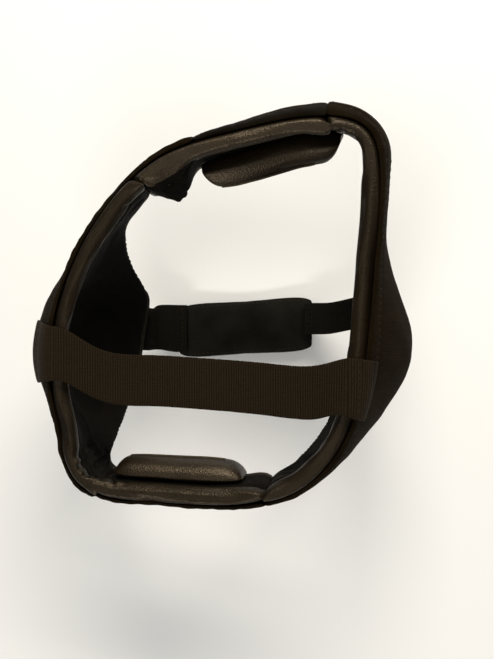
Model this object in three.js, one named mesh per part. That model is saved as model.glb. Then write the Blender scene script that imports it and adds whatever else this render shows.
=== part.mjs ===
import * as THREE from 'three';

// Soft wrestling ear guard: a padded ring round the head with a hollow ear dome on each side,
// a forehead pad and a neck pad inside it, an elastic crown strap and a padded chin strap.
// Millimetres, +Z up, the front faces -Y, the wearer's left is +X.
// The origin is the middle of the crown strap's underside, where the crown of a head carries it.

// Padded ring
const RING_HALF_WIDTH = 78;
const RING_HALF_LENGTH = 94;
const RING_SETBACK = 33;
const RING_RISE = 12;
const EAR_HEIGHT = 106;
const DOME_DEPTH = 34;
const SWELL_POWER = 1.3;
const FOAM = 8.6;
const COVER = 2.6;
const COVER_EDGE = 1;
const COVER_TUCK = 2;
const GAP = 0.35;

// Loose pads inside the ring: height at their ends as a share of their full height, and how
// square their corners, ends and sections are
const PAD_ROUND = 2;
const PAD_END_HEIGHT = 0.62;
const PAD_CORNERS = 5;
const PAD_ENDS = 8;
const PAD_SECTION = 3;
const PAD_TIP_POWER = 1.2;

// Crown strap
const CROWN_THICKNESS = 1.8;
const CROWN_WIDTH = 27;
const CROWN_SKEW = -5;
const CROWN_CLEARANCE = 1.2;

// Chin strap: a padded cushion between two flat ends that come down from the domes
const CHIN_DROP = 128;
const CHIN_MIDDLE = new THREE.Vector3(-3, -30, -CHIN_DROP);
const CHIN_CURVE = 5;
const CHIN_TURN = 0.06;
const CHIN_PAD_LENGTH = 98;
const CHIN_PAD_WIDTH = 42;
const CHIN_PAD_THICKNESS = 8;
const CHIN_END_WIDTH = 0.72;
const CHIN_CORNERS = 6;
const CHIN_ENDS = 10;
const CHIN_STRAP_THICKNESS = 2;
const CHIN_TAB_WIDTH = 34;
const CHIN_TAB_SHIFT = -2;
const CHIN_TAB_LAP = 8;
const CHIN_STRAP_WIDTH = 22;
const CHIN_STRAP_SHIFT = -3;
const CHIN_STRAP_LAP = 6;

// Stations round the ring, from the front left corner over the brow to the right and back.
// across and along are shares of the ring's half width and half length, drop a share of the
// ear height, lean (low edge outward of the top edge) and swell shares of the dome depth.
const STATIONS = [
  { across: 0.51, along: -0.69, drop: 0.37, lean: 0.20, swell: 0.02 },
  { across: 0.39, along: -0.78, drop: 0.34, lean: 0.14, swell: 0.04 },
  { across: 0.26, along: -0.85, drop: 0.33, lean: 0.12, swell: 0.08 },
  { across: 0.05, along: -0.91, drop: 0.33, lean: 0.12, swell: 0.12 },
  { across: -0.27, along: -0.96, drop: 0.33, lean: 0.16, swell: 0.16 },
  { across: -0.59, along: -1.00, drop: 0.33, lean: 0.28, swell: 0.20 },
  { across: -0.81, along: -1.00, drop: 0.34, lean: 0.34, swell: 0.20 },
  { across: -0.98, along: -0.97, drop: 0.35, lean: 0.36, swell: 0.14 },
  { across: -1.05, along: -0.85, drop: 0.36, lean: 0.22, swell: 0.06 },
  { across: -1.06, along: -0.60, drop: 0.44, lean: 0.12, swell: 0.04 },
  { across: -1.03, along: -0.34, drop: 0.72, lean: 0.10, swell: 0.20 },
  { across: -1.00, along: -0.08, drop: 0.95, lean: 0.08, swell: 0.56 },
  { across: -0.97, along: 0.17, drop: 1.00, lean: 0.06, swell: 0.74 },
  { across: -0.92, along: 0.43, drop: 0.97, lean: 0.05, swell: 0.52 },
  { across: -0.83, along: 0.64, drop: 0.80, lean: 0.05, swell: 0.24 },
  { across: -0.68, along: 0.80, drop: 0.54, lean: 0.04, swell: 0.10 },
  { across: -0.50, along: 0.90, drop: 0.38, lean: 0.02, swell: 0.04 },
  { across: -0.20, along: 0.95, drop: 0.36, lean: 0.00, swell: 0.04 },
  { across: 0.12, along: 0.95, drop: 0.36, lean: 0.00, swell: 0.04 },
  { across: 0.40, along: 0.94, drop: 0.36, lean: 0.02, swell: 0.04 },
  { across: 0.62, along: 0.93, drop: 0.37, lean: 0.04, swell: 0.04 },
  { across: 0.80, along: 0.88, drop: 0.40, lean: 0.06, swell: 0.06 },
  { across: 0.89, along: 0.77, drop: 0.66, lean: 0.04, swell: 0.16 },
  { across: 0.92, along: 0.60, drop: 0.90, lean: -0.02, swell: 0.38 },
  { across: 0.97, along: 0.41, drop: 1.00, lean: -0.24, swell: 0.70 },
  { across: 0.98, along: 0.18, drop: 1.02, lean: -0.38, swell: 1.00 },
  { across: 0.94, along: -0.05, drop: 1.02, lean: -0.38, swell: 0.90 },
  { across: 0.87, along: -0.24, drop: 0.98, lean: -0.32, swell: 0.56 },
  { across: 0.76, along: -0.42, drop: 0.63, lean: 0.12, swell: 0.20 },
  { across: 0.63, along: -0.57, drop: 0.40, lean: 0.26, swell: 0.04 },
];

// Places of the seams, pads, folds and straps, counted in stations
const FRONT_LEFT_SEAM = 0.7;
const PANEL_LEFT_SEAM = 3.0;
const FRONT_RIGHT_SEAM = 5.9;
const REAR_RIGHT_SEAM = 16.4;
const REAR_LEFT_SEAM = 20.6;
const FOREHEAD_PAD = {
  from: 2.85, to: 6.55, top: 0.16, low: 0.94, thickness: 17, standoff: 11, tipFrom: 0.66,
};
const NECK_PAD = {
  from: 16.8, to: 20.3, top: 0.16, low: 0.94, thickness: 13, standoff: 1, tipFrom: 0.66,
};
const GATHER = {
  from: 0.75, to: 2.75, depth: 20, foldAt: 0.5, fold: 0.22, foldHalf: 0.12, ends: 0.7, edges: 0.8,
};
const CREASES = [
  { at: 21.1, depth: 2.6, half: 0.12 },
  { at: 21.55, depth: 3.2, half: 0.12 },
  { at: 22.05, depth: 2.4, half: 0.14 },
];
const CREASE_SLANT = 0.3;
const CREASE_FADE = 0.5;
const CREASE_SHOW = 0.35;
const CROWN_LEFT = { front: 25.62, rear: 24.35 };
const CROWN_RIGHT = { front: 12.1, rear: 13.3 };
const CHIN_LEFT = { front: 26.5, rear: 24.9 };
const CHIN_RIGHT = { front: 10.6, rear: 11.5 };

// Depths at which the straps lie on the domes, as shares of the ring's depth
const CROWN_LEFT_DEPTHS = [0.23, 0.14, 0.05];
const CROWN_RIGHT_DEPTHS = [0.05, 0.09];
const CHIN_DEPTHS = [0.8, 0.9];

// Where the crown strap passes over the ring's edge, as shares of half the foam's thickness
const CROWN_EDGE = { out: 0.9, in: -0.6 };

// Slack of the crown strap between the edges: across as a share of the ring's half width,
// height as a share of the ring's rise
const CROWN_SLACK = [
  { across: 0.68, height: 0.5 },
  { across: 0.32, height: 0.12 },
  { across: 0, height: 0 },
  { across: -0.35, height: 0.1 },
  { across: -0.7, height: 0.5 },
];

// Turn of a chin strap under the low edge of a dome, as shares of the foam's thickness
const CHIN_UNDER = [
  { out: 0.9, down: 0.12 },
  { out: 0.3, down: 0.7 },
];

// Bend of a chin strap beyond the end of its cushion, and its rise where it comes onto it
const CHIN_BEND = { beyond: 12, rise: 16, landing: 2 };

// Divisions of the solids
const EDGE_TURNS = [0, Math.PI / 6, Math.PI / 3];
const RIBBON_ROWS = [0.04, 0.27, 0.5, 0.73, 0.96];
const CORNER_RUN = 1.9;
const CORNER_STEPS = 11;
const LEFT_STEPS = 20;
const RIGHT_STEPS = 26;
const FRONT_STEPS = 20;
const REAR_STEPS = 10;
const PANEL_STEPS = 8;
const EAR_ROWS = 8;
const BAND_ROWS = 4;
const CROWN_STEPS = 38;
const CHIN_STEPS = 16;

const COUNT = STATIONS.length;
const UP = new THREE.Vector3(0, 0, 1);
const mix = THREE.MathUtils.lerp;

function rail(points) {
  return new THREE.CatmullRomCurve3(points, false, 'centripetal');
}

function closedCurve(pointOf) {
  return new THREE.CatmullRomCurve3(STATIONS.map(pointOf), true, 'centripetal');
}

const topEdge = closedCurve((row) => new THREE.Vector3(
  row.across * RING_HALF_WIDTH,
  row.along * RING_HALF_LENGTH - RING_SETBACK,
  RING_RISE,
));
const measures = closedCurve((row) => new THREE.Vector3(row.drop, row.lean, row.swell));

function share(station) {
  return (((station / COUNT) % 1) + 1) % 1;
}

function outward(station) {
  const tangent = topEdge.getPoint(share(station + 0.1)).sub(topEdge.getPoint(share(station - 0.1)));
  return tangent.cross(UP).normalize().negate();
}

// Middle surface of the ring: t runs from 0 at the top edge to 1 at the low edge.
function ring(station, t) {
  const { x: drop, y: lean, z: swell } = measures.getPoint(share(station));
  const fullness = Math.sin(Math.PI * Math.min(Math.max(t, 0), 1)) ** SWELL_POWER;
  return topEdge.getPoint(share(station))
    .addScaledVector(UP, -drop * EAR_HEIGHT * t)
    .addScaledVector(outward(station), DOME_DEPTH * (lean * t + swell * fullness));
}

function normalOf(base, s, t) {
  const step = 0.02;
  const low = Math.max(t - step, 0);
  const high = Math.min(t + step, 1);
  const along = base(s + step, t).sub(base(s - step, t));
  const across = base(s, high).sub(base(s, low));
  return along.cross(across).normalize();
}

function sectionLength(base, s) {
  const steps = 12;
  let total = 0;
  for (let k = 0; k < steps; k += 1) {
    total += base(s, k / steps).distanceTo(base(s, (k + 1) / steps));
  }
  return total;
}

function spread(from, to, steps) {
  return Array.from({ length: steps + 1 }, (_, k) => from + (to - from) * (k / steps));
}

// Closed solid between two grids of points that meet or are walled off along their borders.
function solidBetween(outer, inner) {
  const positions = [];
  const known = new Map();
  const indices = [];
  const indexOf = (point) => {
    const key = [point.x, point.y, point.z].map((value) => Math.round(value * 500)).join();
    if (!known.has(key)) {
      known.set(key, positions.length / 3);
      positions.push(point.x, point.y, point.z);
    }
    return known.get(key);
  };
  const face = (a, b, c) => {
    if (a !== b && b !== c && c !== a) indices.push(a, b, c);
  };
  const quad = (a, b, c, d) => {
    const corners = [a, b, c, d].map(indexOf);
    face(corners[0], corners[1], corners[2]);
    face(corners[0], corners[2], corners[3]);
  };
  const last = outer.length - 1;
  const edge = outer[0].length - 1;
  for (let i = 0; i < last; i += 1) {
    for (let j = 0; j < edge; j += 1) {
      quad(outer[i][j], outer[i + 1][j], outer[i + 1][j + 1], outer[i][j + 1]);
      quad(inner[i][j], inner[i][j + 1], inner[i + 1][j + 1], inner[i + 1][j]);
    }
    quad(outer[i][0], inner[i][0], inner[i + 1][0], outer[i + 1][0]);
    quad(outer[i][edge], outer[i + 1][edge], inner[i + 1][edge], inner[i][edge]);
  }
  for (let j = 0; j < edge; j += 1) {
    quad(outer[0][j], outer[0][j + 1], inner[0][j + 1], inner[0][j]);
    quad(outer[last][j], inner[last][j], inner[last][j + 1], outer[last][j + 1]);
  }
  const geometry = new THREE.BufferGeometry();
  geometry.setAttribute('position', new THREE.Float32BufferAttribute(positions, 3));
  geometry.setIndex(indices);
  if (volumeOf(geometry) < 0) indices.reverse();
  geometry.setIndex(indices);
  geometry.computeVertexNormals();
  return geometry;
}

function volumeOf(geometry) {
  const points = geometry.getAttribute('position');
  const index = geometry.getIndex();
  const corners = [new THREE.Vector3(), new THREE.Vector3(), new THREE.Vector3()];
  let total = 0;
  for (let k = 0; k < index.count; k += 3) {
    corners.forEach((corner, n) => corner.fromBufferAttribute(points, index.getX(k + n)));
    total += corners[0].dot(corners[1].cross(corners[2])) / 6;
  }
  return total;
}

// Layer on a base surface: rowsAt gives, for a place along it, its rows across with offsets.
function layer(base, places, rowsAt) {
  const outer = [];
  const inner = [];
  places.forEach((s, k) => {
    const rows = rowsAt(s, k / (places.length - 1));
    const shift = ({ t, at = s }, offset) => (
      base(at, t).addScaledVector(normalOf(base, at, t), offset)
    );
    outer.push(rows.map((row) => shift(row, row.out)));
    inner.push(rows.map((row) => shift(row, row.in)));
  });
  return solidBetween(outer, inner);
}

// Lining bunched up inside the ring where the left arm meets the brow band, with one fold in it.
function gather(station, t) {
  const place = (station - GATHER.from) / (GATHER.to - GATHER.from);
  if (place <= 0 || place >= 1) return 0;
  const fold = GATHER.fold * Math.exp(-(((place - GATHER.foldAt) / GATHER.foldHalf) ** 2));
  const across = Math.sin(Math.PI * place) ** GATHER.ends;
  const down = Math.sin(Math.PI * t) ** GATHER.edges;
  return GATHER.depth * across * down * (1 - fold);
}

// Dents of the creased rear left corner, deepest towards the top of the band.
function creaseDepth(station, t) {
  const dents = CREASES.map(({ at, depth, half }) => (
    depth * Math.exp(-(((station - at - CREASE_SLANT * t) / half) ** 2))
  ));
  return Math.max(...dents) * (1 - t) ** CREASE_FADE;
}

// Foam lining with fully rounded top and low edges.
function liningRows(steps, extra = () => 0) {
  return (s) => {
    const radius = FOAM / 2;
    const length = sectionLength(ring, s);
    const start = radius / length;
    const rim = EDGE_TURNS.map((turn) => ({
      t: (radius * (1 - Math.cos(turn))) / length,
      half: radius * Math.sin(turn),
    }));
    const body = spread(start, 1 - start, steps).map((t) => ({ t, half: radius }));
    const low = rim.map(({ t, half }) => ({ t: 1 - t, half })).reverse();
    return [...rim, ...body, ...low].map(({ t, half }) => ({
      t,
      out: half,
      in: -half - (half / radius) * (extra(s, t) - creaseDepth(s, t)),
    }));
  };
}

// Fabric cover on the outer side of the lining, thinned where its edges are sewn down.
function coverRows(steps) {
  return (s) => {
    const start = FOAM / 2 / sectionLength(ring, s);
    const tuck = COVER_TUCK / sectionLength(ring, s);
    const face = FOAM / 2 + GAP;
    const body = spread(start, 1 - start, steps).map((t) => (
      { t, in: face, out: face + COVER - CREASE_SHOW * creaseDepth(s, t) }
    ));
    body[0].out = face + COVER_EDGE;
    body[steps].out = face + COVER_EDGE;
    body.splice(1, 0, { t: start + tuck, in: face, out: face + COVER });
    body.splice(steps + 1, 0, { t: 1 - start - tuck, in: face, out: face + COVER });
    return body;
  };
}

// Stations of a run, its two ends trimmed by half a gap each, with a creased first corner
// divided finer where it has one.
function run(from, to, steps, corner = 0) {
  const trim = (station) => {
    const pace = ring(station + 0.05, 0.5).distanceTo(ring(station - 0.05, 0.5)) / 0.1;
    return GAP / 2 / pace;
  };
  const start = from + trim(from);
  const turn = start + CORNER_RUN;
  const end = to - trim(to);
  if (!corner) return spread(start, end, steps);
  return [...spread(start, turn, corner), ...spread(turn, end, steps).slice(1)];
}

function plump(share01, power) {
  return Math.sqrt(Math.max(0, 1 - Math.abs(2 * share01 - 1) ** power));
}

// Places closer together towards both ends, where a pad is rounded off.
function eased(from, to, steps) {
  return spread(0, 1, steps).map((k) => from + (to - from) * (1 - Math.cos(Math.PI * k)) * 0.5);
}

// Plump pad that stands inside the ring, tipped off it at the top by the standoff.
function insidePad({ from, to, top, low, thickness, standoff, tipFrom }) {
  return layer(ring, eased(from, to, 14), (s) => {
    const place = (s - from) / (to - from);
    const height = mix(PAD_END_HEIGHT, 1, plump(place, PAD_CORNERS));
    return eased(0, 1, 8).map((b) => {
      const t = (top + low) / 2 + (low - top) * (b - 0.5) * height;
      const fat = plump(place, PAD_ENDS) * plump(b, PAD_SECTION);
      const tip = standoff * Math.max(0, 1 - t / tipFrom) ** PAD_TIP_POWER;
      const back = FOAM / 2 + GAP + tip + PAD_ROUND * (1 - fat);
      return { t, out: -back, in: -back - thickness * fat };
    });
  });
}

// Ribbon whose rails, one for each place across it, are worked out by railAt.
function ribbon(railAt, thickness, steps) {
  const rails = new Map();
  const base = (s, t) => {
    if (!rails.has(t)) rails.set(t, railAt(t));
    return rails.get(t).getPoint(Math.min(Math.max(s, 0), 1));
  };
  const half = thickness / 2;
  const thin = half / 2;
  return layer(base, spread(0, 1, steps), () => [
    { t: 0, out: thin, in: -thin },
    ...RIBBON_ROWS.map((t) => ({ t, out: half, in: -half })),
    { t: 1, out: thin, in: -thin },
  ]);
}

function onCover(station, t, thickness) {
  const lift = FOAM / 2 + COVER + 2 * GAP + thickness / 2;
  return ring(station, t).addScaledVector(ringOut(station, t), lift);
}

function ringOut(station, t) {
  const normal = normalOf(ring, station, t);
  return normal.dot(outward(station)) < 0 ? normal.negate() : normal;
}

function aboveEdge(station, side, lift) {
  return topEdge.getPoint(share(station))
    .addScaledVector(outward(station), side)
    .addScaledVector(UP, lift);
}

// Rail of the crown strap: over the ring's edge on each side and slack across the middle.
function crownRail(t) {
  const left = mix(CROWN_LEFT.front, CROWN_LEFT.rear, t);
  const right = mix(CROWN_RIGHT.front, CROWN_RIGHT.rear, t);
  const y = (t - 0.5) * CROWN_WIDTH;
  const rise = CROWN_THICKNESS / 2;
  const lift = rise + GAP + CROWN_CLEARANCE;
  const out = (FOAM / 2) * CROWN_EDGE.out;
  const into = (FOAM / 2) * CROWN_EDGE.in;
  const slack = CROWN_SLACK.map(({ across, height }) => new THREE.Vector3(
    across * RING_HALF_WIDTH,
    y + CROWN_SKEW * across,
    rise + height * RING_RISE,
  ));
  return rail([
    ...CROWN_LEFT_DEPTHS.map((depth) => onCover(left, depth, CROWN_THICKNESS)),
    aboveEdge(left, out, lift),
    aboveEdge(left, into, lift),
    ...slack,
    aboveEdge(right, into, lift),
    aboveEdge(right, out, lift),
    ...CROWN_RIGHT_DEPTHS.map((depth) => onCover(right, depth, CROWN_THICKNESS)),
  ]);
}

// Chin pad: a plump cushion with rounded corners, its ends a little higher than its middle.
function chinPad() {
  const base = (s, t) => new THREE.Vector3(
    CHIN_MIDDLE.x + (s - 0.5) * CHIN_PAD_LENGTH,
    CHIN_MIDDLE.y + (t - 0.5) * CHIN_PAD_WIDTH + (s - 0.5) * CHIN_PAD_LENGTH * CHIN_TURN,
    CHIN_MIDDLE.z + CHIN_CURVE * (2 * s - 1) ** 2,
  );
  return layer(base, eased(0, 1, 18), (s) => {
    const width = mix(CHIN_END_WIDTH, 1, plump(s, CHIN_CORNERS));
    return eased(0, 1, 10).map((b) => {
      const t = 0.5 + (b - 0.5) * width;
      const half = (CHIN_PAD_THICKNESS / 2) * plump(s, CHIN_ENDS) * plump(b, CHIN_CORNERS);
      return { t, out: half, in: -half };
    });
  });
}

function chinTop(x, y) {
  const s = (2 * (x - CHIN_MIDDLE.x)) / CHIN_PAD_LENGTH;
  const lift = CHIN_PAD_THICKNESS / 2 + CHIN_STRAP_THICKNESS / 2 + GAP;
  return new THREE.Vector3(x, y, CHIN_MIDDLE.z + CHIN_CURVE * s * s + lift);
}

// Rail of a chin strap: down the outside of an ear dome, under its low edge and onto the pad.
function chinRail({ front, rear }, width, side, shift, lap) {
  return (t) => {
    const station = mix(front, rear, t);
    const low = ring(station, 1);
    const down = low.clone().sub(ring(station, 0.97)).normalize();
    const out = ringOut(station, 0.99);
    const end = CHIN_MIDDLE.x + side * CHIN_PAD_LENGTH * 0.5;
    const y = CHIN_MIDDLE.y + shift + (t - 0.5) * width;
    const onPad = y + end * CHIN_TURN;
    const landing = new THREE.Vector3(0, 0, CHIN_BEND.landing);
    return rail([
      ...CHIN_DEPTHS.map((depth) => onCover(station, depth, CHIN_STRAP_THICKNESS)),
      ...CHIN_UNDER.map((turn) => (
        low.clone().addScaledVector(out, FOAM * turn.out).addScaledVector(down, FOAM * turn.down)
      )),
      new THREE.Vector3(
        end + side * CHIN_BEND.beyond,
        (y + low.y) / 2,
        CHIN_MIDDLE.z + CHIN_BEND.rise,
      ),
      chinTop(end + side, onPad).add(landing),
      chinTop(end - side * lap * 0.5, onPad),
      chinTop(end - side * lap, onPad),
    ]);
  };
}

const FABRIC = { color: 0x1d1915, roughness: 0.95, metalness: 0 };
const LINING = { color: 0x191612, roughness: 0.6, metalness: 0 };
const PANEL = { color: 0x1c1a17, roughness: 0.5, metalness: 0 };
const ELASTIC = { color: 0x1f1a14, roughness: 0.9, metalness: 0 };
const SOFT = { color: 0x14140f, roughness: 0.85, metalness: 0 };

const guard = new THREE.Group();
guard.name = 'ear_guard';

function add(name, look, geometry) {
  const mesh = new THREE.Mesh(geometry, new THREE.MeshStandardMaterial(look));
  mesh.name = name;
  guard.add(mesh);
}

add('left_lining', LINING, layer(
  ring,
  run(REAR_LEFT_SEAM, COUNT + FRONT_LEFT_SEAM, LEFT_STEPS, CORNER_STEPS),
  liningRows(EAR_ROWS),
));
add('left_cover', FABRIC, layer(
  ring,
  run(REAR_LEFT_SEAM, COUNT + PANEL_LEFT_SEAM, LEFT_STEPS + 6, CORNER_STEPS),
  coverRows(EAR_ROWS),
));
add('right_lining', LINING, layer(
  ring,
  run(FRONT_RIGHT_SEAM, REAR_RIGHT_SEAM, RIGHT_STEPS),
  liningRows(EAR_ROWS),
));
add('right_cover', FABRIC, layer(
  ring,
  run(FRONT_RIGHT_SEAM, REAR_RIGHT_SEAM, RIGHT_STEPS),
  coverRows(EAR_ROWS),
));
add('front_lining', LINING, layer(
  ring,
  run(FRONT_LEFT_SEAM, FRONT_RIGHT_SEAM, FRONT_STEPS),
  liningRows(BAND_ROWS, gather),
));
add('front_panel', PANEL, layer(
  ring,
  run(PANEL_LEFT_SEAM, FRONT_RIGHT_SEAM, PANEL_STEPS),
  coverRows(BAND_ROWS),
));
add('rear_lining', LINING, layer(
  ring,
  run(REAR_RIGHT_SEAM, REAR_LEFT_SEAM, REAR_STEPS),
  liningRows(BAND_ROWS),
));
add('rear_cover', FABRIC, layer(
  ring,
  run(REAR_RIGHT_SEAM, REAR_LEFT_SEAM, REAR_STEPS),
  coverRows(BAND_ROWS),
));
add('forehead_pad', LINING, insidePad(FOREHEAD_PAD));
add('neck_pad', LINING, insidePad(NECK_PAD));
add('crown_strap', ELASTIC, ribbon(crownRail, CROWN_THICKNESS, CROWN_STEPS));
add('chin_pad', SOFT, chinPad());
add('chin_strap_left', ELASTIC, ribbon(
  chinRail(CHIN_LEFT, CHIN_TAB_WIDTH, 1, CHIN_TAB_SHIFT, CHIN_TAB_LAP),
  CHIN_STRAP_THICKNESS,
  CHIN_STEPS,
));
add('chin_strap_right', ELASTIC, ribbon(
  chinRail(CHIN_RIGHT, CHIN_STRAP_WIDTH, -1, CHIN_STRAP_SHIFT, CHIN_STRAP_LAP),
  CHIN_STRAP_THICKNESS,
  CHIN_STEPS,
));

export default guard;
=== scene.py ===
# %% [markdown]
# A soft wrestling ear guard. The imported model is loaded as the frame: its solids give the place of
# every piece. The box of the frame is kept, so that the floor can be laid just under it.

# %% Load the frame
import math

import bmesh
import bpy
import numpy as np
from mathutils import Matrix, Vector
from mathutils.bvhtree import BVHTree


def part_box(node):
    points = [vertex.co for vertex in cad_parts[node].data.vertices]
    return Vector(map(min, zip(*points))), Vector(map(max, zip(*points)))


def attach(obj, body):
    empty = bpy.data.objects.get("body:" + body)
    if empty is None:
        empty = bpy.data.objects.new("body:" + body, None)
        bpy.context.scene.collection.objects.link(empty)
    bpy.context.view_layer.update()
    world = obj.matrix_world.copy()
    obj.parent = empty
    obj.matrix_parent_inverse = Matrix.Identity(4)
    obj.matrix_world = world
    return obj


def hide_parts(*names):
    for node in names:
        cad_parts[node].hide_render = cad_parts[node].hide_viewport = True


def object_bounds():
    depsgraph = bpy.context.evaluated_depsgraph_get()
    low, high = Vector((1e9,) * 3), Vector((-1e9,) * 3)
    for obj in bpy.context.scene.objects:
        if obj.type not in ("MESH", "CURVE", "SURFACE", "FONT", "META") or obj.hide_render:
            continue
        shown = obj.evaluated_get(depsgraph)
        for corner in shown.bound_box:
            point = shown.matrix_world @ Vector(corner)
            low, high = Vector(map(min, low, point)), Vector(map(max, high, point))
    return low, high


MM_PER_M = 1000

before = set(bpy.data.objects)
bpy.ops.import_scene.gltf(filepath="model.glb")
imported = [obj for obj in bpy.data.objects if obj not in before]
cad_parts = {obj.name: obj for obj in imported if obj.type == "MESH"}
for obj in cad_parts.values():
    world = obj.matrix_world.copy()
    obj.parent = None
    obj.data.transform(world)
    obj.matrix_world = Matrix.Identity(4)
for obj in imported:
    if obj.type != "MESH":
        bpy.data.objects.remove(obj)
frame_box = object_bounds()
print("frame box in mm:", [[round(c * MM_PER_M, 1) for c in corner] for corner in frame_box])

# %% [markdown]
# The guard is seen from right above its ring, tipped a little towards its own right side, with the
# front band at the top of the picture. The focal length comes from the size of the ring and from
# how far the low edges of the ear pads seem to shrink towards the middle of the picture. The camera
# is turned by its three axes, because a view straight down leaves a track constraint no clear top.

# %% Camera
TIP = math.radians(7.6)
EYE = Vector((-0.0637, -0.0285, 0.319))
PICTURE_PIXELS = (494, 659)
FOCAL_PIXELS = 620
SENSOR = 36.0

camera_data = bpy.data.cameras.new("view_camera")
camera_data.sensor_width = SENSOR
camera_data.lens = FOCAL_PIXELS / PICTURE_PIXELS[1] * SENSOR
camera_data.clip_start = 0.01
camera = bpy.data.objects.new("view_camera", camera_data)
bpy.context.collection.objects.link(camera)
away = Vector((-math.sin(TIP), 0, math.cos(TIP)))
upwards = Vector((0, -1, 0))
across = upwards.cross(away)
turn = camera.matrix_world.to_3x3()
turn.col[0], turn.col[1], turn.col[2] = across, upwards, away
camera.matrix_world = turn.to_4x4()
camera.location = EYE
bpy.context.scene.camera = camera
print("lens in mm:", round(camera_data.lens, 2))

# %% [markdown]
# A pale floor lies just under the chin pad, far enough down for soft shadows. Wide lamps in front
# and behind light the rolled edges that run from side to side, so that they show as soft
# highlights, and the top lamp and the world stay weak to leave the arms of the ear pads dark.

# %% Floor and lights
FLOOR_HALF_SIZE = 3.0
FLOOR_GAP = 0.001
LAMPS = (
    ("front_lamp", (-0.25, -0.95, 0.75), (0, 0, -0.02), (1.0, 0.24), 19.0, (1.0, 0.86, 0.69)),
    ("back_lamp", (0.2, 0.95, 0.7), (0, 0, -0.02), (0.7, 0.2), 7.0, (1.0, 0.87, 0.72)),
    ("top_lamp", (0.1, 0.1, 1.3), (0, 0, 0), (0.7, 0.7), 2.6, (1.0, 0.9, 0.77)),
)

floor_mesh = bpy.data.meshes.new("floor")
bm = bmesh.new()
bmesh.ops.create_grid(bm, x_segments=1, y_segments=1, size=FLOOR_HALF_SIZE)
bmesh.ops.translate(bm, verts=bm.verts, vec=(0, 0, frame_box[0][2] - FLOOR_GAP))
bm.to_mesh(floor_mesh)
bm.free()
floor = bpy.data.objects.new("floor", floor_mesh)
bpy.context.collection.objects.link(floor)
floor_paint = bpy.data.materials.new("floor_paint")
floor_paint.use_nodes = True
floor_shader = floor_paint.node_tree.nodes["Principled BSDF"]
floor_shader.inputs["Base Color"].default_value = (0.83, 0.91, 1.0, 1)
floor_shader.inputs["Roughness"].default_value = 0.9
floor_mesh.materials.append(floor_paint)


def lamp(name, place, target, size, power, tint):
    data = bpy.data.lights.new(name, "AREA")
    data.shape = "RECTANGLE"
    data.size, data.size_y = size
    data.energy = power
    data.color = tint
    holder = bpy.data.objects.new(name, data)
    holder.location = place
    holder.rotation_euler = (Vector(target) - Vector(place)).to_track_quat("-Z", "Y").to_euler()
    bpy.context.collection.objects.link(holder)


for row in LAMPS:
    lamp(*row)
world = bpy.data.worlds.new("pale_room")
bpy.context.scene.world = world
world.use_nodes = True
world.node_tree.nodes["Background"].inputs["Color"].default_value = (1.0, 0.96, 0.92, 1)
world.node_tree.nodes["Background"].inputs["Strength"].default_value = 0.19
bpy.context.scene.view_settings.view_transform = "Standard"

# %% [markdown]
# Cloth, synthetic leather and elastic look black at first, but each has its own grain and shine. A
# small helper starts a material and wires its nodes, so that every finish below stays short. The
# dyed fabrics are a warm black, so their shine has a warm tint too. At scale 1 the bands of a wave
# texture are 2 pi / 20 apart, so that length over the period of a weave gives the weave's scale.

# %% Helper for materials
WARM = (1.0, 0.88, 0.70, 1)
DEEP_WARM = (1.0, 0.76, 0.46, 1)
NEUTRAL = (1, 1, 1, 1)
SHEEN_ROUGHNESS = 0.45
WAVE_BAND = 2 * math.pi / 20


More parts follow.
